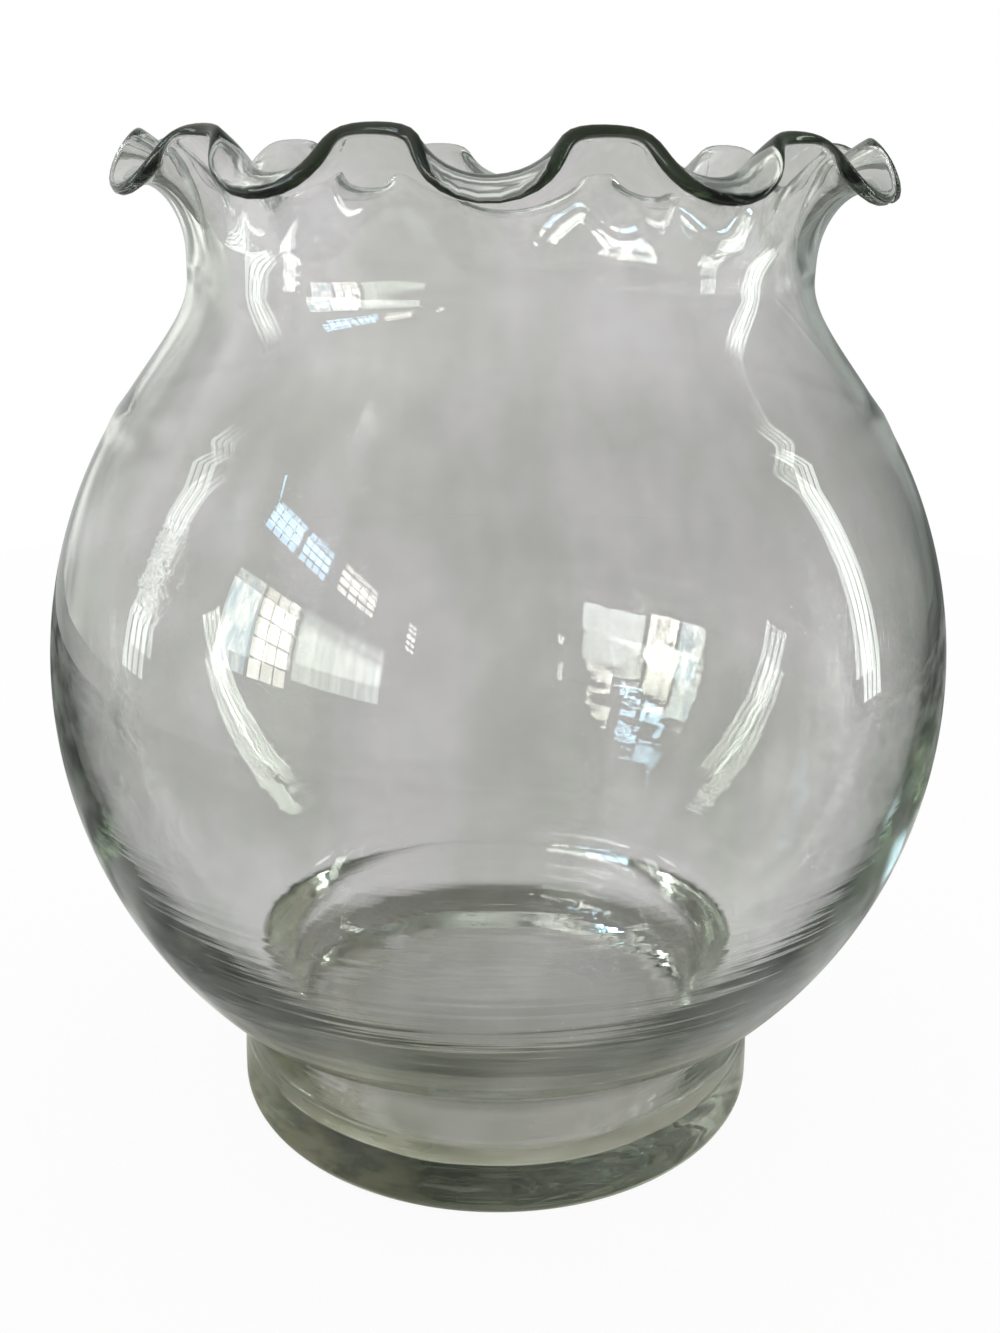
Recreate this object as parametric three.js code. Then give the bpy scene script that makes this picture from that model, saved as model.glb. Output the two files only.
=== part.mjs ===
// Footed ivy bowl in clear glass: a round blown globe on a short hollow foot,
// with a narrow neck that opens into a crimped, fire-polished rim.
// Sizes are in millimetres. +Z is up, the origin is under the middle of the
// foot, and the front of the bowl faces -Y.
import * as THREE from 'three';
import { mergeVertices } from 'three/addons/utils/BufferGeometryUtils.js';

// Globe, part of an egg a little taller than it is wide
const GLOBE_RADIUS = 82.5;
const GLOBE_HALF_HEIGHT = 85.1;
const GLOBE_CENTRE_HEIGHT = 89;
const UNDERSIDE_ANGLE = THREE.MathUtils.degToRad(-42);
const SHOULDER_ANGLE = THREE.MathUtils.degToRad(32);

// Foot, which narrows a little towards the waist and stands on a flat ring
const FOOT_RADIUS = 51.8;
const FOOT_TAPER = 1.2;
const FOOT_HEIGHT = 24.6;
const FOOT_EDGE_ROUND = 3.2;
const REST_RING_WIDTH = 6.6;
const BASE_HOLLOW = 1.6;
const UNDERSIDE_FILLET = 4;

// Well inside the foot, open to the globe above it
const FOOT_WALL = 7.4;
const WELL_DRAFT = 0.2;
const WELL_CORNER_ROUND = 9;
const WELL_WALL_HEIGHT = 3;
const WELL_THROAT_PULL = 10;
const GLOBE_FLOOR_PULL = 14;
const FLOOR_THICKNESS = 4.6;

// Glass thickness: heavy at the bottom, thin above the widest part
const WALL_BOTTOM = 6;
const WALL_TOP = 1.9;
const WALL_THINS_OVER = 110;
const LIP_THICKNESS = 2.1;

// Low moulded ring round the shoulder
const SHOULDER_RING_HEIGHT = 0.25;
const SHOULDER_RING_HALF_WIDTH = 4;

// Neck, from the shoulder ring to its narrowest place
const NECK_RADIUS = 54.5;
const NECK_HEIGHT = 160;
const NECK_SHOULDER_PULL = 14;
const NECK_THROAT_PULL = 7;

// Lip, from the narrowest place to the polished edge, measured on the middle
// of the glass and before crimping
const LIP_RADIUS = 64.2;
const LIP_HEIGHT = 178;
const LIP_RISE = 10.1;

// Crimps: the edge is drawn in and up at each crest, out and down at each dip
const CRIMPS = 12;
const FIRST_CREST = THREE.MathUtils.degToRad(13.6);
const CRIMP_REACH = 2.9;
const CRIMP_LIFT = 4.1;
const CREST_BEND_RADIUS = 51.6;
const CREST_BEND_HEIGHT = 176.2;
const DIP_BEND_RADIUS = 60.6;
const DIP_BEND_HEIGHT = 179.4;
const FLANK_LIFT = 0.68;
const FLANK_FOLD = 0.022;
const SPOON_SPREAD = 0.021;

// The crimps are set by hand, so they drift and the rim leans a little
const CRIMP_DRIFT = 0.24;
const DRIFT_START = 0.6;
const RIM_LEAN = 0.45;
const RIM_SHIFT = 0.5;

// Steps round and along each surface
const BOWL_STEPS = 120;
const FOOT_STEPS = 80;
const UNDERSIDE_STEPS = 3;
const OUTSIDE_STEPS_BELOW = 6;
const OUTSIDE_STEPS_ABOVE = 4;
const INSIDE_STEPS_BELOW = 5;
const INSIDE_STEPS_ABOVE = 3;
const THROAT_STEPS = 3;
const NECK_STEPS = 3;
const LIP_STEPS = 6;
const EDGE_STEPS = 4;

const glass = {
  color: new THREE.Color(0.72, 0.75, 0.72),
  roughness: 0.04,
  metalness: 0,
  transparent: true,
  opacity: 0.4
};

// A point on the outside of the globe; angle 0 is the widest level.
function globeOutside(angle) {
  return new THREE.Vector2(
    GLOBE_RADIUS * Math.cos(angle),
    GLOBE_CENTRE_HEIGHT + GLOBE_HALF_HEIGHT * Math.sin(angle)
  );
}

function globeNormal(angle) {
  return new THREE.Vector2(
    Math.cos(angle) / GLOBE_RADIUS,
    Math.sin(angle) / GLOBE_HALF_HEIGHT
  ).normalize();
}

function globeSlope(angle) {
  return new THREE.Vector2(
    -GLOBE_RADIUS * Math.sin(angle),
    GLOBE_HALF_HEIGHT * Math.cos(angle)
  ).normalize();
}

// Angles up the globe, from the underside past the widest level to the shoulder.
function globeAngles(stepsBelow, stepsAbove) {
  const angles = [];
  for (let i = 0; i < stepsBelow; i++) {
    angles.push(UNDERSIDE_ANGLE * (1 - i / stepsBelow));
  }
  for (let i = 0; i <= stepsAbove; i++) {
    angles.push(SHOULDER_ANGLE * i / stepsAbove);
  }
  return angles;
}

const undersideStart = globeOutside(UNDERSIDE_ANGLE);
const shoulder = globeOutside(SHOULDER_ANGLE);

// The wall thins smoothly from the underside upwards.
function wallThickness(height) {
  const left = Math.max(0, 1 - (height - undersideStart.y) / WALL_THINS_OVER);
  return WALL_TOP + (WALL_BOTTOM - WALL_TOP) * left * left;
}

function globeInside(angle) {
  const outside = globeOutside(angle);
  const depth = wallThickness(outside.y);
  return outside.addScaledVector(globeNormal(angle), -depth);
}

// The underside of the globe turns in to the top of the foot.
const footTop = new THREE.Vector2(FOOT_RADIUS - FOOT_TAPER, FOOT_HEIGHT);
const underside = new THREE.QuadraticBezierCurve(
  footTop,
  undersideStart.clone().addScaledVector(globeSlope(UNDERSIDE_ANGLE), -UNDERSIDE_FILLET),
  undersideStart
);

// Inside, the globe's floor turns down through the waist and ends upright as
// the wall of the well.
const wellRadius = FOOT_RADIUS - FOOT_WALL;
const cornerTop = FLOOR_THICKNESS + WELL_CORNER_ROUND;
const throatBottom = new THREE.Vector2(wellRadius, cornerTop + WELL_WALL_HEIGHT);
const throatTop = globeInside(UNDERSIDE_ANGLE);
const throat = new THREE.CubicBezierCurve(
  throatTop,
  throatTop.clone().addScaledVector(globeSlope(UNDERSIDE_ANGLE), -GLOBE_FLOOR_PULL),
  throatBottom.clone().add(new THREE.Vector2(0, WELL_THROAT_PULL)),
  throatBottom
);

// The share of the throat that lies above the joint with the foot, found by
// halving, because the curve runs down all the way.
let throatShare = 0.5;
for (let step = 0.25; step > 1e-6; step /= 2) {
  throatShare += throat.getPoint(throatShare).y > FOOT_HEIGHT ? step : -step;
}
const jointInside = new THREE.Vector2(throat.getPoint(throatShare).x, FOOT_HEIGHT);

// The neck leaves the shoulder along the globe's slope and ends upright.
function neckCurve(depth) {
  const start = shoulder.clone().addScaledVector(globeNormal(SHOULDER_ANGLE), -depth);
  const end = new THREE.Vector2(NECK_RADIUS - depth, NECK_HEIGHT);
  return new THREE.CubicBezierCurve(
    start,
    start.clone().addScaledVector(globeSlope(SHOULDER_ANGLE), NECK_SHOULDER_PULL),
    end.clone().add(new THREE.Vector2(0, -NECK_THROAT_PULL)),
    end
  );
}

// Middle of the glass in the lip: along runs from 0 at the neck to 1 at the
// edge, and turn is the angle round the bowl, 0 at the front.
function lipMiddle(along, turn) {
  const phase = CRIMPS * (turn - FIRST_CREST) + CRIMP_DRIFT * Math.sin(2 * turn + DRIFT_START);
  const crestShare = (1 + Math.cos(phase)) / 2;
  const neckTop = new THREE.Vector2(NECK_RADIUS - LIP_THICKNESS / 2, NECK_HEIGHT);
  const riser = new THREE.Vector2(neckTop.x, NECK_HEIGHT + LIP_RISE);
  const crest = new THREE.CubicBezierCurve(
    neckTop,
    riser,
    new THREE.Vector2(CREST_BEND_RADIUS, CREST_BEND_HEIGHT),
    new THREE.Vector2(LIP_RADIUS - CRIMP_REACH, LIP_HEIGHT + CRIMP_LIFT)
  ).getPoint(along);
  const dip = new THREE.CubicBezierCurve(
    neckTop,
    riser,
    new THREE.Vector2(DIP_BEND_RADIUS, DIP_BEND_HEIGHT),
    new THREE.Vector2(LIP_RADIUS + CRIMP_REACH, LIP_HEIGHT - CRIMP_LIFT)
  ).getPoint(along);
  const middle = dip.lerp(crest, crestShare);
  const flank = FLANK_LIFT * along ** 3 * (1 - Math.cos(2 * phase));
  const fold = FLANK_FOLD * Math.sin(2 * phase) - SPOON_SPREAD * Math.sin(phase);
  const around = turn + fold * along ** 5;
  return new THREE.Vector3(
    middle.x * Math.sin(around) + RIM_SHIFT * along,
    -middle.x * Math.cos(around),
    middle.y + flank - RIM_LEAN * along * Math.sin(turn)
  );
}

// A point of the lip's skin. side is 1 outside, -1 inside, and a point past
// the edge goes round it by the angle roll.
function lipSkin(along, turn, side, roll = 0) {
  const nudge = 0.001;
  const here = lipMiddle(along, turn);
  const up = lipMiddle(along, turn).sub(lipMiddle(along - nudge, turn)).normalize();
  const across = lipMiddle(along, turn + nudge).sub(lipMiddle(along, turn - nudge)).normalize();
  const outward = across.cross(up).normalize();
  const half = LIP_THICKNESS / 2;
  return here
    .addScaledVector(outward, half * side * Math.cos(roll))
    .addScaledVector(up, half * Math.sin(roll));
}

// Closed section of the bowl, up the outside, over the edge and down the
// inside to the flat ring that sits on the foot.
const section = [];

function addPlain(point) {
  section.push({ point });
}

function addLip(along, side, roll = 0) {
  const flat = lipMiddle(along, 0);
  section.push({ point: new THREE.Vector2(Math.hypot(flat.x, flat.y), flat.z), along, side, roll });
}

for (let i = 0; i < UNDERSIDE_STEPS; i++) {
  addPlain(underside.getPoint(i / UNDERSIDE_STEPS));
}
for (const angle of globeAngles(OUTSIDE_STEPS_BELOW, OUTSIDE_STEPS_ABOVE)) {
  addPlain(globeOutside(angle));
}
const neckOutside = neckCurve(0);
const ringShare = SHOULDER_RING_HALF_WIDTH / neckOutside.getLength();
const ringTop = neckOutside.getPointAt(ringShare);
ringTop.addScaledVector(globeNormal(SHOULDER_ANGLE), SHOULDER_RING_HEIGHT);
addPlain(ringTop);
addPlain(neckOutside.getPointAt(2 * ringShare));
for (let i = 1; i <= NECK_STEPS; i++) {
  addPlain(neckOutside.getPointAt(THREE.MathUtils.lerp(2 * ringShare, 1, i / NECK_STEPS)));
}
for (let i = 1; i <= LIP_STEPS; i++) {
  addLip(i / LIP_STEPS, 1);
}
for (let i = 1; i < EDGE_STEPS; i++) {
  const roll = Math.PI * i / EDGE_STEPS;
  addLip(1, 1, roll);
}
for (let i = LIP_STEPS; i >= 1; i--) {
  addLip(i / LIP_STEPS, -1);
}
const neckInside = neckCurve(WALL_TOP);
for (let i = NECK_STEPS + 1; i >= 1; i--) {
  addPlain(neckInside.getPointAt(i / (NECK_STEPS + 1)));
}
for (const angle of globeAngles(INSIDE_STEPS_BELOW, INSIDE_STEPS_ABOVE).reverse()) {
  addPlain(globeInside(angle));
}
for (let i = 1; i < THROAT_STEPS; i++) {
  addPlain(throat.getPoint(throatShare * i / THROAT_STEPS));
}
addPlain(jointInside);
addPlain(footTop);

// The bowl is blown round first, then the lip is crimped.
const bowlGeometry = new THREE.LatheGeometry(section.map((step) => step.point), BOWL_STEPS);
bowlGeometry.rotateX(Math.PI / 2);
const bowlPoints = bowlGeometry.attributes.position;
for (let i = 0; i <= BOWL_STEPS; i++) {
  const turn = 2 * Math.PI * (i % BOWL_STEPS) / BOWL_STEPS;
  section.forEach((step, j) => {
    if (step.along) {
      const skin = lipSkin(step.along, turn, step.side, step.roll);
      bowlPoints.setXYZ(i * section.length + j, skin.x, skin.y, skin.z);
    }
  });
}

// Section of the foot, from the middle of its hollow underside, out over the
// resting ring and up to the flat ring under the bowl, then down into the well.
const restRingInside = FOOT_RADIUS - FOOT_EDGE_ROUND - REST_RING_WIDTH;
const footSection = new THREE.CubicBezierCurve(
  new THREE.Vector2(0, BASE_HOLLOW),
  new THREE.Vector2(restRingInside * 0.7, BASE_HOLLOW),
  new THREE.Vector2(restRingInside * 0.9, 0),
  new THREE.Vector2(restRingInside, 0)
).getPoints(3);
for (let i = 0; i <= 4; i++) {
  const angle = Math.PI / 2 * i / 4;
  footSection.push(new THREE.Vector2(
    FOOT_RADIUS - FOOT_EDGE_ROUND * (1 - Math.sin(angle)),
    FOOT_EDGE_ROUND * (1 - Math.cos(angle))
  ));
}
footSection.push(new THREE.Vector2(FOOT_RADIUS - FOOT_TAPER * 0.25, FOOT_HEIGHT * 0.5));
footSection.push(footTop);
footSection.push(jointInside);
footSection.push(throat.getPoint((1 + throatShare) / 2));
footSection.push(throatBottom);
for (let i = 0; i <= 4; i++) {
  const angle = Math.PI / 2 * i / 4;
  footSection.push(new THREE.Vector2(
    wellRadius - WELL_DRAFT - WELL_CORNER_ROUND * (1 - Math.cos(angle)),
    cornerTop - WELL_CORNER_ROUND * Math.sin(angle)
  ));
}
footSection.push(new THREE.Vector2(0, FLOOR_THICKNESS));
const footGeometry = new THREE.LatheGeometry(footSection, FOOT_STEPS);
footGeometry.rotateX(Math.PI / 2);

// A closed skin with shared points, without the slivers at the axis.
function closedSkin(geometry) {
  geometry.deleteAttribute('normal');
  geometry.deleteAttribute('uv');
  const welded = mergeVertices(geometry, 1e-4);
  const corners = welded.index.array;
  const kept = [];
  for (let i = 0; i < corners.length; i += 3) {
    const [a, b, c] = corners.slice(i, i + 3);
    if (a !== b && b !== c && c !== a) {
      kept.push(a, b, c);
    }
  }
  welded.setIndex(kept);
  welded.computeVertexNormals();
  return welded;
}

function addPiece(name, geometry) {
  const piece = new THREE.Mesh(closedSkin(geometry), new THREE.MeshStandardMaterial({ ...glass }));
  piece.name = name;
  group.add(piece);
}

const group = new THREE.Group();
group.name = 'footed_ivy_bowl';
addPiece('bowl', bowlGeometry);
addPiece('foot', footGeometry);

export default group;
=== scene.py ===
import math
import bpy
from mathutils import Matrix, Vector


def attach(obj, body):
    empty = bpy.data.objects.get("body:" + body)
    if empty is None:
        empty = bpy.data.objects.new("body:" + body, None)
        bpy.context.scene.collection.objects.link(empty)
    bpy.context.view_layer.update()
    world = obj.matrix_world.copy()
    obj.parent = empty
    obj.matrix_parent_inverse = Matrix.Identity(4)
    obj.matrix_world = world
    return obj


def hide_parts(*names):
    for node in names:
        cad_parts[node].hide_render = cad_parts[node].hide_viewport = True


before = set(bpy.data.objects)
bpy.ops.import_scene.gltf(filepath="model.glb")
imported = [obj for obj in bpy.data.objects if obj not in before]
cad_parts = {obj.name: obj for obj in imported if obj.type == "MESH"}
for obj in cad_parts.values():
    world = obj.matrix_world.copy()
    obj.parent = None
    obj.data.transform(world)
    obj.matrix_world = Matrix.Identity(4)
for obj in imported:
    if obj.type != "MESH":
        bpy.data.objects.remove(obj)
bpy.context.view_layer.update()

MM = 0.001

# Globe
GLOBE_RADIUS = 82.5 * MM
GLOBE_HALF_HEIGHT = 85.1 * MM
GLOBE_CENTRE_HEIGHT = 89 * MM
UNDERSIDE_ANGLE = math.radians(-42)
SHOULDER_ANGLE = math.radians(32)

# Foot and the well inside it
FOOT_RADIUS = 51.8 * MM
FOOT_TOP_RADIUS = 50.6 * MM
FOOT_HEIGHT = 24.6 * MM
WAIST_FILLET = 4 * MM
FOOT_EDGE_ROUND = 3.2 * MM
RING_INNER_RADIUS = 42 * MM
BASE_HOLLOW = 1.6 * MM
WELL_RADIUS = 44.4 * MM
WELL_THROAT_HEIGHT = 16.6 * MM
WELL_THROAT_PULL = 10 * MM
UNDERSIDE_PULL = 14 * MM
WELL_DRAFT = 0.2 * MM
WELL_CORNER_ROUND = 9 * MM
FLOOR_THICKNESS = 4.6 * MM

# Glass thickness
WALL_BOTTOM = 6 * MM
WALL_TOP = 1.9 * MM
WALL_THINS_OVER = 110 * MM
LIP_THICKNESS = 2.1 * MM

# Shoulder ring and neck
SHOULDER_RING_HEIGHT = 0.25 * MM
SHOULDER_RING_HALF_WIDTH = 4 * MM
NECK_RADIUS = 54.5 * MM
NECK_HEIGHT = 160 * MM
NECK_SHOULDER_PULL = 14 * MM
NECK_THROAT_PULL = 7 * MM

# Crimped lip
COLLAR_HEIGHT = 20 * MM
LIP_RADIUS = 64.2 * MM
LIP_HEIGHT = 178 * MM
LIP_RISE = 10.1 * MM
CRIMPS = 12
FIRST_CREST = math.radians(13.6)
CRIMP_REACH = 2.9 * MM
CRIMP_LIFT = 4.08 * MM
CREST_BEND = (51.6 * MM, 176.2 * MM)
DIP_BEND = (60.6 * MM, 179.4 * MM)
FLANK_LIFT = 0.68 * MM
FLANK_FOLD = 0.022
SPOON_SPREAD = 0.021
CRIMP_DRIFT = 0.24
DRIFT_START = 0.6
RIM_LEAN = 0.45 * MM
RIM_SHIFT = 0.5 * MM

# Steps round the bowl and along its section
TURN_STEPS = 288
HOLLOW_STEPS = 10
ROUND_STEPS = 8
GLOBE_STEPS = 56
NECK_STEPS = 20
COLLAR_STEPS = 24
INNER_NECK_STEPS = 16
INNER_GLOBE_STEPS = 48
THROAT_STEPS = 20
WELL_STEPS = 4
CORNER_STEPS = 12

# Glass
# Painted shade: these greys, given to light at the first wall of glass it passes, stand in for the dim
# room seen through the glass. They are darker near DIM_PLACE to the front right and much darker at the
# waist, and paler on the neck's left, low on the body and at the foot.
PAINTED_BODY_SHADE = (0.482, 0.478, 0.464, 1)
PAINTED_BODY_PALE_SHADE = (0.522, 0.519, 0.503, 1)
PAINTED_NECK_SHADE = (0.575, 0.57, 0.557, 1)
PAINTED_NECK_PALE_SHADE = (0.595, 0.59, 0.577, 1)
PAINTED_LOWER_SHADE = (0.62, 0.616, 0.603, 1)
PAINTED_WAIST_SHADE = (0.2, 0.198, 0.183, 1)
PAINTED_FOOT_SHADE = (0.65, 0.645, 0.605, 1)
DIM_PLACE = (0.033, -0.072, 0.105)
DIM_FADE = (50 * MM, 85 * MM)
NECK_PALE_FADE = (10 * MM, -12 * MM)
NECK_FADE = (140 * MM, 154 * MM)
LOW_FADE = (105 * MM, 60 * MM)
WAIST_FADE = (36 * MM, 30 * MM)
FOOT_FADE = (24.5 * MM, 21 * MM)
FILM_DULL = (0.9, 0.91, 0.885, 1)
FILM_PALE = (1.09, 1.07, 1.11, 1)
GLASS_DEPTH_COLOUR = (0.5, 0.59, 0.46, 1)
GLASS_DENSITY = 13.0
WAVE_SCALE = 30.0
WAVE_DEPTH = 0.06 * MM
RIPPLE_SCALE = 120.0
RIPPLE_DEPTH = 0.006 * MM
CORD_SPACING = (9.0, 9.0, 260.0)
CORD_DEPTH = 0.12 * MM
CORD_FADE = (90 * MM, 50 * MM)
SETTLE_SCALE = 48.0
SETTLE_DEPTH = 0.22 * MM
SETTLE_FADE = (26 * MM, 14 * MM)
SMEAR_SPACING = (110.0, 110.0, 14.0)
CRINKLES = (
    ((-0.0494, -0.0586, 0.1205), 9 * MM),
    ((-0.0566, -0.0593, 0.098), 7 * MM),
)
CRINKLE_SPACING = (300.0, 300.0, 520.0)
CRINKLE_DEPTH = 0.11 * MM
CLOUD_SCALE = 42.0
# Painted reflection of a wooden table at the resting ring: a diffuse cream in patches on the lowest
# millimetre, stronger on the left.
PAINTED_WOOD_SCALE = 75.0
PAINTED_WOOD_COLOUR = (0.68, 0.63, 0.45, 1)
PAINTED_WOOD_RIGHT = 0.12
PAINTED_WOOD_MORE_LEFT = 0.42
PAINTED_WOOD_TURN = (0.0, -30 * MM)
PAINTED_WOOD_FADE = (1.2 * MM, 0.3 * MM)

# Room round the table
WHITE = (1, 1, 1, 1)
ROOM_LEFT = (0.74, 0.76, 0.73, 1)
ROOM_RIGHT = (0.27, 0.295, 0.28, 1)
ROOM_LOW_RIGHT = (0.17, 0.19, 0.175, 1)
# Painted reflection: the table glows these greys where it shows in reflections, darker away from the
# bowl. It has painted shade under the foot, lighter to the left, and a painted pool of gathered light
# to the right.
PAINTED_TABLE_NEAR = (0.5, 0.505, 0.49, 1)
PAINTED_TABLE_FAR = (0.24, 0.255, 0.235, 1)
# Painted shadow on the table under and round the foot, seen only through the glass.
PAINTED_SHADOW_UNDER_FOOT = (0.5, 0.5, 0.475, 1)
PAINTED_SHADOW_ROUND_FOOT = (0.25, 0.25, 0.22, 1)
DEEP_SHADE = (0.36, 0.36, 0.31, 1)
DEEP_GLOW = (0.5, 0.5, 0.41, 1)
GATHERED_LIGHT = (1.3, 1.75, 1.85, 1)
GATHERED_PLACE = (0.138, 0.057, 0.0)
GATHERED_FADE = (8 * MM, 24 * MM)
TABLE_FADE = (120 * MM, 220 * MM)
DEEP_FADE = (50 * MM, 70 * MM)
DEEP_TURN = (-20 * MM, 20 * MM)
ROUND_FOOT_FADE = (38 * MM, 56 * MM)
SHADE_FADE = (59 * MM, 70 * MM)
PALE_DAY = (0.93, 1.0, 0.93, 1)
WARM_DAY = (1.0, 1.0, 0.93, 1)
BLUE_SKY = (0.45, 0.75, 1.0, 1)
PALE_VEIL = (0.62, 0.69, 0.635, 1)
BLUE_VEIL = (0.3, 0.42, 0.48, 1)
CREAM_VEIL = (0.7, 0.68, 0.6, 1)
WALL_DISTANCE = 2.5

# How light from the room is lifted and worn on its way through the walls of glass
LIFT_PER_WALL = 0.55
MOST_WALLS = 4.0
MOST_WORN = 0.72
WORN_TURNS = (2.5, 9.0)

# Lighter and darker things in the room, and painted reflections of lighter and darker things on the
# table
CLUTTER_SCALE = 3.4
CLUTTER_LEAST = 0.72
CLUTTER_MORE = 2.08
THINGS_SCALE = 17.0
THINGS_LEAST = 0.55
THINGS_MORE = 0.9

# Table under the bowl
PAPER_WHITE = (0.9, 0.9, 0.9, 1)
PAPER_GLOW = 0.93
TABLE_RADIUS = 500 * MM
TABLE_CORNERS = 128
TABLE_DROP = 0.02 * MM

# Camera: its place in radii of the globe, its turn in radians, its lens in millimetres
CAMERA_BACK = 3.228
CAMERA_UP = 2.132
CAMERA_PITCH = 0.3229
CAMERA_ROLL = 0.0068
CAMERA_LENS = 39.27
CAMERA_SHIFT = 0.00135


def bezier(points, steps):
    """Points along a curve with two, three or four controls, without its start."""
    found = []
    for i in range(1, steps + 1):
        row = [Vector(p) for p in points]
        while len(row) > 1:
            row = [a.lerp(b, i / steps) for a, b in zip(row, row[1:])]
        found.append(row[0])
    return found


def arc(centre, radius, start, end, steps):
    """Points along a circle's arc in the section, both ends included."""
    angles = [math.radians(start + (end - start) * i / steps) for i in range(steps + 1)]
    middle = Vector(centre)
    return [middle + radius * Vector((math.cos(a), math.sin(a))) for a in angles]


def globe_outside(angle):
    return Vector((
        GLOBE_RADIUS * math.cos(angle),
        GLOBE_CENTRE_HEIGHT + GLOBE_HALF_HEIGHT * math.sin(angle),
    ))


def globe_normal(angle):
    return Vector((math.cos(angle) / GLOBE_RADIUS, math.sin(angle) / GLOBE_HALF_HEIGHT)).normalized()


def globe_slope(angle):
    return Vector((-GLOBE_RADIUS * math.sin(angle), GLOBE_HALF_HEIGHT * math.cos(angle))).normalized()


def globe_inside(angle):
    outside = globe_outside(angle)
    left = max(0, 1 - (outside.y - globe_outside(UNDERSIDE_ANGLE).y) / WALL_THINS_OVER)
    return outside - globe_normal(angle) * (WALL_TOP + (WALL_BOTTOM - WALL_TOP) * left * left)


def globe_angles(steps):
    return [UNDERSIDE_ANGLE + (SHOULDER_ANGLE - UNDERSIDE_ANGLE) * i / steps for i in range(steps + 1)]


def neck(depth, steps):
    """The neck's curve, that deep in the glass, with the low ring at its start."""
    start = globe_outside(SHOULDER_ANGLE) - globe_normal(SHOULDER_ANGLE) * depth
    end = Vector((NECK_RADIUS - depth, NECK_HEIGHT))
    curve = bezier((
        start,
        start + globe_slope(SHOULDER_ANGLE) * NECK_SHOULDER_PULL,
        end - Vector((0, NECK_THROAT_PULL)),
        end,
    ), steps)
    if depth > 0:
        return curve
    travelled = 0
    last = start
    for point in curve:
        travelled += (point - last).length
        last = point.copy()
        if travelled < 2 * SHOULDER_RING_HALF_WIDTH:
            swell = 0.5 - 0.5 * math.cos(math.pi * travelled / SHOULDER_RING_HALF_WIDTH)
            point += globe_normal(SHOULDER_ANGLE) * SHOULDER_RING_HEIGHT * swell
    return curve


def glass_section():
    """Half section of the whole vessel before crimping, with an upright collar for a lip.

    It runs from the middle of the underside, up the outside, over the edge,
    and down the inside to the middle of the well's floor.
    """
    points = bezier((
        (0, BASE_HOLLOW),
        (RING_INNER_RADIUS * 0.7, BASE_HOLLOW),
        (RING_INNER_RADIUS * 0.9, 0),
        (RING_INNER_RADIUS, 0),
    ), HOLLOW_STEPS)
    points.insert(0, Vector((0, BASE_HOLLOW)))
    points += arc(
        (FOOT_RADIUS - FOOT_EDGE_ROUND, FOOT_EDGE_ROUND),
        FOOT_EDGE_ROUND, -90, 0, ROUND_STEPS,
    )
    points += bezier((
        (FOOT_RADIUS, FOOT_EDGE_ROUND),
        (FOOT_RADIUS, FOOT_HEIGHT * 0.5),
        (FOOT_TOP_RADIUS, FOOT_HEIGHT),
    ), ROUND_STEPS)
    start = globe_outside(UNDERSIDE_ANGLE)
    points += bezier((
        (FOOT_TOP_RADIUS, FOOT_HEIGHT),
        start - globe_slope(UNDERSIDE_ANGLE) * WAIST_FILLET,
        start,
    ), ROUND_STEPS)
    points += [globe_outside(a) for a in globe_angles(GLOBE_STEPS)[1:]]
    points += neck(0, NECK_STEPS)
    half = LIP_THICKNESS / 2
    middle = NECK_RADIUS - half
    top = NECK_HEIGHT + COLLAR_HEIGHT
    heights = [NECK_HEIGHT + COLLAR_HEIGHT * i / COLLAR_STEPS for i in range(1, COLLAR_STEPS)]
    points += [Vector((NECK_RADIUS, height)) for height in heights]
    points += arc((middle, top), half, 0, 180, ROUND_STEPS)
    points += [Vector((middle - half, height)) for height in reversed(heights)]
    points += reversed(neck(WALL_TOP, INNER_NECK_STEPS))
    points += [globe_inside(a) for a in reversed(globe_angles(INNER_GLOBE_STEPS))]
    last = globe_inside(UNDERSIDE_ANGLE)
    points += bezier((
        last,
        last - globe_slope(UNDERSIDE_ANGLE) * UNDERSIDE_PULL,
        (WELL_RADIUS, WELL_THROAT_HEIGHT + WELL_THROAT_PULL),
        (WELL_RADIUS, WELL_THROAT_HEIGHT),
    ), THROAT_STEPS)
    points += bezier((
        points[-1],
        (WELL_RADIUS - WELL_DRAFT, FLOOR_THICKNESS + WELL_CORNER_ROUND),
    ), WELL_STEPS)
    points += arc(
        (WELL_RADIUS - WELL_DRAFT - WELL_CORNER_ROUND, FLOOR_THICKNESS + WELL_CORNER_ROUND),
        WELL_CORNER_ROUND, 0, -90, CORNER_STEPS,
    )[1:]
    points += [Vector((points[-1].x * share, FLOOR_THICKNESS)) for share in (0.75, 0.5, 0.25, 0)]
    return points


def lip_middle(along, turn):
    """Middle of the crimped lip's glass; along is 0 at the neck and 1 at the edge."""
    phase = CRIMPS * (turn - FIRST_CREST) + CRIMP_DRIFT * math.sin(2 * turn + DRIFT_START)
    throat = Vector((NECK_RADIUS - LIP_THICKNESS / 2, NECK_HEIGHT))
    riser = throat + Vector((0, LIP_RISE))
    crest = (throat, riser, CREST_BEND, (LIP_RADIUS - CRIMP_REACH, LIP_HEIGHT + CRIMP_LIFT))
    dip = (throat, riser, DIP_BEND, (LIP_RADIUS + CRIMP_REACH, LIP_HEIGHT - CRIMP_LIFT))
    share = 0.5 + 0.5 * math.cos(phase)
    weights = (
        (1 - along) ** 3,
        3 * along * (1 - along) ** 2,
        3 * along ** 2 * (1 - along),
        along ** 3,
    )
    radius = sum(w * (c[0] * share + d[0] * (1 - share)) for w, c, d in zip(weights, crest, dip))
    height = sum(w * (c[1] * share + d[1] * (1 - share)) for w, c, d in zip(weights, crest, dip))
    height += FLANK_LIFT * along ** 3 * (1 - math.cos(2 * phase)) - RIM_LEAN * along * math.sin(turn)
    fold = FLANK_FOLD * math.sin(2 * phase) - SPOON_SPREAD * math.sin(phase)
    around = turn + fold * along ** 5
    return Vector((
        radius * math.sin(around) + RIM_SHIFT * along,
        -radius * math.cos(around),
        height,
    ))


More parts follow.
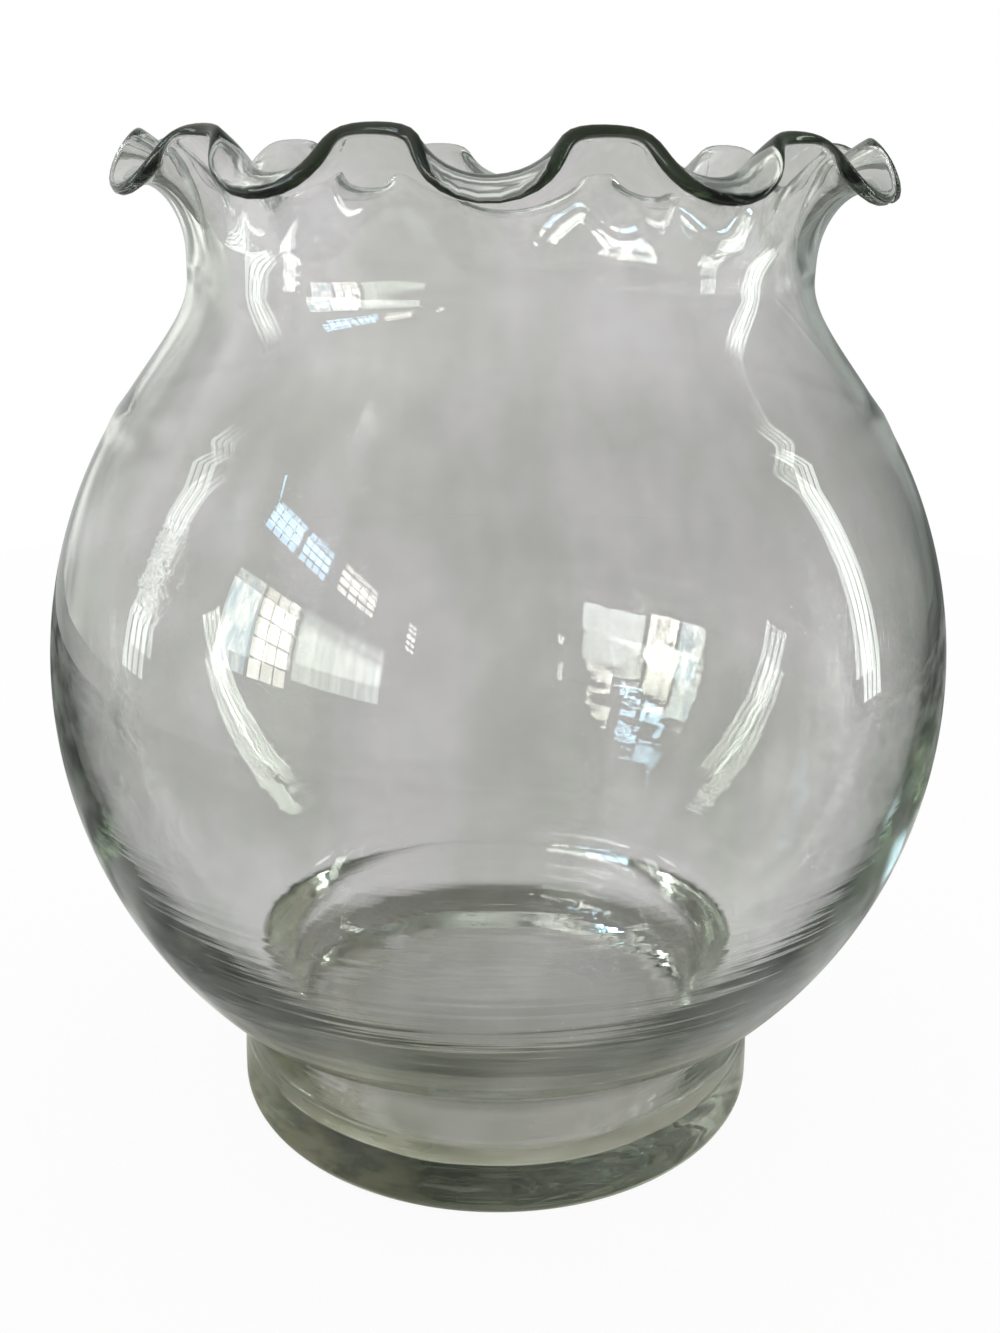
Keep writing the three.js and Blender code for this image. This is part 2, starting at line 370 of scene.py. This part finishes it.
def crimp(point):
    """Where a point of the upright collar goes when the lip is flared and crimped."""
    if point.z <= NECK_HEIGHT:
        return point
    turn = math.atan2(point.x, -point.y)
    depth = math.hypot(point.x, point.y) - (NECK_RADIUS - LIP_THICKNESS / 2)
    along = min(1, (point.z - NECK_HEIGHT) / COLLAR_HEIGHT)
    beyond = max(0, point.z - NECK_HEIGHT - COLLAR_HEIGHT)
    nudge = 0.001
    middle = lip_middle(along, turn)
    up = (middle - lip_middle(along - nudge, turn)).normalized()
    across = (lip_middle(along, turn + nudge) - lip_middle(along, turn - nudge)).normalized()
    outward = across.cross(up).normalized()
    return middle + outward * depth + up * beyond


def start_piece(name, add, **settings):
    """A primitive that will be shaped into a piece, alone in the selection."""
    bpy.ops.object.select_all(action="DESELECT")
    add(**settings)
    piece = bpy.context.object
    piece.name = name
    return piece


def blow_vessel():
    """The vessel: its section is drawn point by point, spun round the axis, then crimped."""
    section = glass_section()
    vessel = start_piece("glass_vessel", bpy.ops.mesh.primitive_plane_add, size=2 * MM)
    bpy.ops.object.mode_set(mode="EDIT")
    bpy.ops.mesh.select_mode(type="VERT")
    bpy.ops.mesh.select_all(action="SELECT")
    bpy.ops.mesh.merge(type="CENTER")
    bpy.ops.transform.translate(value=(section[0].x, 0, section[0].y))
    for here, there in zip(section, section[1:]):
        step = there - here
        if step.length > 1e-7:
            bpy.ops.mesh.extrude_region_move(TRANSFORM_OT_translate={"value": (step.x, 0, step.y)})
    bpy.ops.mesh.select_all(action="SELECT")
    bpy.ops.mesh.spin(steps=TURN_STEPS, angle=2 * math.pi, center=(0, 0, 0), axis=(0, 0, 1))
    bpy.ops.mesh.select_all(action="SELECT")
    bpy.ops.mesh.remove_doubles(threshold=1e-6)
    bpy.ops.mesh.normals_make_consistent(inside=False)
    bpy.ops.object.mode_set(mode="OBJECT")
    for vertex in vessel.data.vertices:
        vertex.co = crimp(vertex.co)
    bpy.ops.object.shade_smooth()
    return vessel


class Socket:
    """A value or colour on its way to a surface, which ordinary sums and products work on."""

    def __init__(self, nodes, output):
        self.nodes = nodes
        self.output = output

    def work_out(self, operation, first, second):
        return self.nodes.add("ShaderNodeMath", {"operation": operation}, {0: first, 1: second})

    def __add__(self, other):
        return self.work_out("ADD", self, other)

    def __radd__(self, other):
        return self.work_out("ADD", other, self)

    def __sub__(self, other):
        return self.work_out("SUBTRACT", self, other)

    def __rsub__(self, other):
        return self.work_out("SUBTRACT", other, self)

    def __mul__(self, other):
        return self.work_out("MULTIPLY", self, other)

    def __rmul__(self, other):
        return self.work_out("MULTIPLY", other, self)

    def __gt__(self, other):
        return self.work_out("GREATER_THAN", self, other)

    def at_most(self, limit):
        return self.work_out("MINIMUM", self, limit)


class Nodes:
    """The nodes of one material or of the room's light."""

    def __init__(self, owner):
        owner.use_nodes = True
        self.tree = owner.node_tree
        self.tree.nodes.clear()

    def add(self, kind, settings={}, sockets={}, output=0):
        """Any node: its settings first, then values or links for its sockets; gives one output."""
        node = self.tree.nodes.new(kind)
        for name, value in settings.items():
            setattr(node, name, value)
        for name, value in sockets.items():
            if isinstance(value, Socket):
                self.tree.links.new(value.output, node.inputs[name])
            else:
                node.inputs[name].default_value = value
        if node.outputs:
            return Socket(self, node.outputs[output])

    def path(self, what):
        return self.add("ShaderNodeLightPath", output=what)

    def blend(self, first, second, share):
        """A colour between two others."""
        settings = {"data_type": "RGBA"}
        return self.add("ShaderNodeMix", settings, {0: share, 6: first, 7: second}, output=2)

    def tint(self, first, second):
        """A colour times another."""
        settings = {"data_type": "RGBA", "blend_type": "MULTIPLY"}
        return self.add("ShaderNodeMix", settings, {0: 1.0, 6: first, 7: second}, output=2)

    def place(self):
        return self.add("ShaderNodeTexCoord", output="Object")

    def distance(self, point):
        settings = {"operation": "DISTANCE"}
        return self.add("ShaderNodeVectorMath", settings, {0: self.place(), 1: point}, output="Value")

    def noise(self, scale, detail=2.0):
        sockets = {"Vector": self.place(), "Scale": scale, "Detail": detail}
        return self.add("ShaderNodeTexNoise", {}, sockets)

    def streaks(self, spacing, detail=3.0):
        """Noise drawn out along the axis with the smallest number."""
        settings = {"operation": "MULTIPLY"}
        drawn = self.add("ShaderNodeVectorMath", settings, {0: self.place(), 1: spacing})
        sockets = {"Vector": drawn, "Scale": 1.0, "Detail": detail}
        return self.add("ShaderNodeTexNoise", {}, sockets)

    def seen_directly(self):
        """1 for what the camera sees, straight, in a reflection or through the glass."""
        seen = self.path("Is Camera Ray") + self.path("Is Glossy Ray")
        seen = seen + self.path("Is Transmission Ray")
        return seen.at_most(1.0)

    def reflected(self):
        """1 for light that has been turned back by a surface on its way."""
        return self.path("Glossy Depth").at_most(1.0)

    def lift(self):
        """What makes up for the grey that light gets on its way into and out of a wall."""
        return 1 + LIFT_PER_WALL * self.path("Transmission Depth").at_most(MOST_WALLS)

    def worn(self):
        """What is left of light that has been turned back many times inside the glass."""
        return 1 - MOST_WORN * self.between(self.path("Glossy Depth"), *WORN_TURNS)

    def through_glass(self):
        """1 for light that has passed a skin of the glass on its way."""
        return self.path("Transmission Depth").at_most(1.0)

    def between(self, value, start, end):
        """0 up to the start, 1 from the end, and smooth in between."""
        return self.add(
            "ShaderNodeMapRange", {"interpolation_type": "SMOOTHSTEP"},
            {"Value": value, "From Min": start, "From Max": end},
        )

    def part(self, vector, axis):
        return self.add("ShaderNodeSeparateXYZ", {}, {0: vector}, output=axis)


def clear_glass():
    """Soda glass, faintly grey-green where it is thick, with the gentle waves of blown glass."""
    material = bpy.data.materials.new("clear_glass")
    nodes = Nodes(material)
    height = nodes.part(nodes.place(), "Z")
    waves = nodes.noise(WAVE_SCALE) * WAVE_DEPTH + nodes.noise(RIPPLE_SCALE) * RIPPLE_DEPTH
    cords = nodes.streaks(CORD_SPACING) * CORD_DEPTH * nodes.between(height, *CORD_FADE)
    settled = nodes.noise(SETTLE_SCALE) * SETTLE_DEPTH * nodes.between(height, *SETTLE_FADE)
    folds = nodes.streaks(CRINKLE_SPACING) * CRINKLE_DEPTH
    for middle, reach in CRINKLES:
        waves = waves + folds * nodes.between(nodes.distance(middle), reach, reach * 0.4)
    # Painted shade of the room seen through the glass, set by place: darker near DIM_PLACE and at the
    # waist, paler on the neck's left, low on the body and at the foot.
    grey = nodes.blend(PAINTED_BODY_SHADE, PAINTED_BODY_PALE_SHADE, nodes.between(nodes.distance(DIM_PLACE), *DIM_FADE))
    across = nodes.part(nodes.place(), "X")
    neck_grey = nodes.blend(PAINTED_NECK_SHADE, PAINTED_NECK_PALE_SHADE, nodes.between(across, *NECK_PALE_FADE))
    grey = nodes.blend(grey, neck_grey, nodes.between(height, *NECK_FADE))
    grey = nodes.blend(grey, PAINTED_LOWER_SHADE, nodes.between(height, *LOW_FADE))
    grey = nodes.blend(grey, PAINTED_WAIST_SHADE, nodes.between(height, *WAIST_FADE))
    grey = nodes.blend(grey, PAINTED_FOOT_SHADE, nodes.between(height, *FOOT_FADE))
    film = nodes.noise(CLOUD_SCALE, 3.0) * 0.6 + nodes.streaks(SMEAR_SPACING) * 0.4
    film = nodes.blend(FILM_DULL, FILM_PALE, nodes.between(film, 0.38, 0.62))
    grey = nodes.tint(grey, film)
    later_walls = nodes.path("Transmission Depth") > 1.5
    relief = nodes.add("ShaderNodeBump", {}, {
        "Strength": 1.0,
        "Distance": 1.0,
        "Height": waves + cords + settled,
    })
    surface = nodes.add("ShaderNodeBsdfPrincipled", {}, {
        "Base Color": nodes.blend(grey, WHITE, later_walls),
        "Roughness": 0.0,
        "IOR": 1.5,
        "Transmission Weight": 1.0,
        "Normal": relief,
    })
    inside = nodes.add("ShaderNodeVolumeAbsorption", {}, {
        "Color": GLASS_DEPTH_COLOUR,
        "Density": GLASS_DENSITY,
    })
    # Painted reflection of the wooden table at the resting ring, in patches, stronger on the left.
    painted_wood = nodes.add("ShaderNodeBsdfDiffuse", {}, {"Color": PAINTED_WOOD_COLOUR})
    painted_wood_share = PAINTED_WOOD_RIGHT + PAINTED_WOOD_MORE_LEFT * nodes.between(across, *PAINTED_WOOD_TURN)
    painted_wood_share = painted_wood_share * nodes.between(nodes.noise(PAINTED_WOOD_SCALE, 3.0), 0.37, 0.56)
    painted_wood_share = painted_wood_share * nodes.between(height, *PAINTED_WOOD_FADE)
    surface = nodes.add("ShaderNodeMixShader", {}, {0: painted_wood_share, 1: surface, 2: painted_wood})
    nodes.add("ShaderNodeOutputMaterial", {}, {"Surface": surface, "Volume": inside})
    return material


def white_paper():
    """White paper with a trace of the bowl's shadow, a painted shadow under and round the foot where
    it is seen through the glass, and greyer where it shows in reflections, as a painted reflection of
    the room.
    """
    material = bpy.data.materials.new("white_paper")
    nodes = Nodes(material)
    paper = nodes.add("ShaderNodeBsdfDiffuse", {}, {"Color": PAPER_WHITE})
    spread = nodes.distance((0, 0, 0))
    # Painted shadow under and round the foot, for light that has passed the glass.
    dark = nodes.blend(PAINTED_SHADOW_UNDER_FOOT, PAINTED_SHADOW_ROUND_FOOT, nodes.between(spread, *ROUND_FOOT_FADE))
    shade = nodes.blend(dark, WHITE, nodes.between(spread, *SHADE_FADE))
    shade = nodes.blend(WHITE, shade, nodes.through_glass())
    # Painted reflection of the room on the table, darker away from the bowl, with painted shade under
    # the foot, lighter to the left, and a painted pool of light to the right.
    room = nodes.blend(PAINTED_TABLE_NEAR, PAINTED_TABLE_FAR, nodes.between(spread, *TABLE_FADE))
    across = nodes.part(nodes.place(), "X")
    deep = nodes.blend(DEEP_GLOW, DEEP_SHADE, nodes.between(across, *DEEP_TURN))
    room = nodes.blend(deep, room, nodes.between(spread, *DEEP_FADE))
    gathered = nodes.between(nodes.distance(GATHERED_PLACE), *GATHERED_FADE)
    room = nodes.blend(GATHERED_LIGHT, room, gathered)
    white = nodes.add("ShaderNodeEmission", {}, {"Color": shade})
    things = THINGS_LEAST + THINGS_MORE * nodes.between(nodes.noise(THINGS_SCALE), 0.36, 0.64)
    grey = nodes.add("ShaderNodeEmission", {}, {"Color": room, "Strength": nodes.worn() * things})
    glow = nodes.add("ShaderNodeMixShader", {}, {0: nodes.reflected(), 1: white, 2: grey})
    share = nodes.seen_directly() * PAPER_GLOW
    mixed = nodes.add("ShaderNodeMixShader", {}, {0: share, 1: paper, 2: glow})
    nodes.add("ShaderNodeOutputMaterial", {}, {"Surface": mixed})
    return material


def daylight(name, colour, strength, height, veil=None, folds=(6.0, 1.5, 1.0), fade=0.0, inner=0.8):
    """Sky seen through a window, which shows only as a reflection in the glass.

    The veil is the colour of its curtain's folds, and inner is how much more
    it shows on the inside of the far wall.
    """
    material = bpy.data.materials.new(name)
    material.cycles.emission_sampling = "NONE"
    nodes = Nodes(material)
    curtain = nodes.between(nodes.streaks(folds), 0.36, 0.6)
    bright = nodes.between(nodes.part(nodes.place(), "Y"), height * 0.5, height * (0.499 - fade))
    seen = nodes.lift() + inner * (nodes.path("Transmission Depth") > 2.5)
    sky = nodes.add("ShaderNodeEmission", {}, {
        "Color": nodes.blend(colour, veil or colour, curtain),
        "Strength": strength * bright * nodes.worn() * seen,
    })
    clear = nodes.add("ShaderNodeBsdfTransparent")
    mixed = nodes.add("ShaderNodeMixShader", {}, {0: nodes.reflected(), 1: clear, 2: sky})
    nodes.add("ShaderNodeOutputMaterial", {}, {"Surface": mixed})
    return material


def lay_table():
    table = start_piece(
        "paper_table", bpy.ops.mesh.primitive_circle_add,
        vertices=TABLE_CORNERS, radius=TABLE_RADIUS, fill_type="NGON",
    )
    table.location.z = -TABLE_DROP
    table.data.materials.append(white_paper())


def hang_window(name, wall, across, upright, panes, bar, colour, strength, **sky):
    """A paned window on a wall of the room.

    The wall stands square to the direction wall, in degrees from the front
    towards the right. across and upright are the window's edges, in metres
    from the wall's middle and from the height of the bowl's middle.
    """
    width = across[1] - across[0]
    height = upright[1] - upright[0]
    window = start_piece(
        name, bpy.ops.mesh.primitive_grid_add,
        x_subdivisions=panes[0], y_subdivisions=panes[1], size=1,
    )
    bpy.ops.object.mode_set(mode="EDIT")
    bpy.ops.mesh.select_mode(type="FACE")
    bpy.ops.mesh.select_all(action="SELECT")
    bpy.ops.transform.resize(value=(width, height, 1))
    bpy.ops.mesh.inset(thickness=bar / 2, use_individual=True)
    bpy.ops.mesh.select_all(action="INVERT")
    bpy.ops.mesh.delete(type="FACE")
    bpy.ops.object.mode_set(mode="OBJECT")
    turn = math.radians(wall)
    outward = Vector((math.sin(turn), -math.cos(turn), 0))
    along = Vector((math.cos(turn), math.sin(turn), 0))
    middle = outward * WALL_DISTANCE + along * (across[0] + width / 2)
    middle.z = GLOBE_CENTRE_HEIGHT + upright[0] + height / 2
    frame_of_wall = Matrix((along, Vector((0, 0, 1)), outward)).transposed()
    window.matrix_world = Matrix.Translation(middle) @ frame_of_wall.to_4x4()
    window.data.materials.append(daylight(name + "_light", colour, strength, height, **sky))
    window.visible_camera = False
    window.visible_diffuse = False
    window.visible_shadow = False


def light_room():
    """White all round as the camera sees it; a dimmer room with windows in the reflections."""
    world = bpy.data.worlds.new("pale_room")
    nodes = Nodes(world)
    white = nodes.add("ShaderNodeBackground", {}, {"Color": WHITE})
    direction = nodes.add("ShaderNodeTexCoord", output="Generated")
    clutter = nodes.add("ShaderNodeTexNoise", {}, {
        "Vector": direction,
        "Scale": CLUTTER_SCALE,
        "Detail": 1.5,
    })
    clutter = CLUTTER_LEAST + CLUTTER_MORE * nodes.between(clutter, 0.38, 0.64)
    right = nodes.between(nodes.part(direction, "X"), -0.6, 0.5)
    low = nodes.between(nodes.part(direction, "Z"), -0.05, -0.2)
    colour = nodes.blend(ROOM_LEFT, ROOM_RIGHT, right)
    colour = nodes.blend(colour, ROOM_LOW_RIGHT, right * low)
    room = nodes.add("ShaderNodeBackground", {}, {
        "Color": colour,
        "Strength": nodes.worn() * (1 + nodes.through_glass() * (clutter - 1)),
    })
    light = nodes.add("ShaderNodeMixShader", {}, {0: nodes.reflected(), 1: white, 2: room})
    nodes.add("ShaderNodeOutputWorld", {}, {"Surface": light})
    bpy.context.scene.world = world

    hang_window(
        "left_tall_window", -85, (-0.66, -0.27), (-0.26, 1.92), (4, 1), 0.026,
        PALE_DAY, 5.9, veil=PALE_VEIL, folds=(22.0, 0.8, 1.0), fade=0.3,
    )
    hang_window(
        "right_tall_window", 97, (-0.1, 0.22), (-0.43, 1.93), (4, 1), 0.018,
        PALE_DAY, 7.5, veil=PALE_VEIL, folds=(22.0, 0.8, 1.0), fade=0.2,
    )
    hang_window("left_high_window_1", -85, (0.72, 1.34), (1.57, 1.93), (4, 3), 0.024, BLUE_SKY, 13.0)
    hang_window("left_high_window_2", -85, (1.42, 2.04), (1.57, 1.93), (4, 3), 0.024, BLUE_SKY, 13.0)
    hang_window(
        "left_high_window_3", -85, (2.32, 3.40), (1.62, 1.98), (4, 3), 0.035,
        WARM_DAY, 14.0, veil=CREAM_VEIL, folds=(7.0, 7.0, 1.0), inner=0.5,
    )
    hang_window(
        "left_high_window_4", -85, (4.85, 5.35), (1.55, 1.95), (2, 3), 0.05,
        WARM_DAY, 12.0, inner=0.5,
    )
    hang_window(
        "left_window_1", -85, (0.66, 1.12), (0.15, 0.96), (1, 1), 0.02,
        WARM_DAY, 10.0, veil=BLUE_VEIL, folds=(7.0, 3.2, 1.0), inner=0.5,
    )
    hang_window(
        "left_window_2", -85, (1.15, 1.75), (0.15, 0.96), (3, 4), 0.023,
        WARM_DAY, 14.0, veil=CREAM_VEIL, folds=(4.0, 1.0, 1.0), inner=0.5,
    )
    hang_window(
        "left_window_3", -85, (1.82, 3.95), (0.27, 1.05), (1, 1), 0.03,
        PALE_DAY, 7.3, veil=PALE_VEIL, folds=(7.0, 0.6, 1.0), fade=0.3, inner=0.5,
    )


def set_camera():
    """A hand-held view, 18.5 degrees down, from about 27 cm in front of the bowl."""
    data = bpy.data.cameras.new("camera")
    data.sensor_width = 36
    data.lens = CAMERA_LENS
    data.shift_x = CAMERA_SHIFT
    data.clip_start = 10 * MM
    camera = bpy.data.objects.new("camera", data)
    bpy.context.collection.objects.link(camera)
    turned = Matrix.Rotation(math.pi / 2 - CAMERA_PITCH, 4, "X") @ Matrix.Rotation(CAMERA_ROLL, 4, "Z")
    standing = Matrix.Translation((0, -CAMERA_BACK * GLOBE_RADIUS, CAMERA_UP * GLOBE_RADIUS))
    camera.matrix_world = standing @ turned
    bpy.context.scene.camera = camera


bpy.context.scene.cycles.max_bounces = 64
bpy.context.scene.cycles.glossy_bounces = 48
bpy.context.scene.cycles.transmission_bounces = 64
bpy.context.scene.cycles.sample_clamp_indirect = 0
set_camera()
lay_table()
light_room()
vessel = blow_vessel()
vessel.data.materials.append(clear_glass())
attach(vessel, "root")
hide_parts("bowl", "foot")

bpy.context.scene.view_settings.view_transform = "Standard"
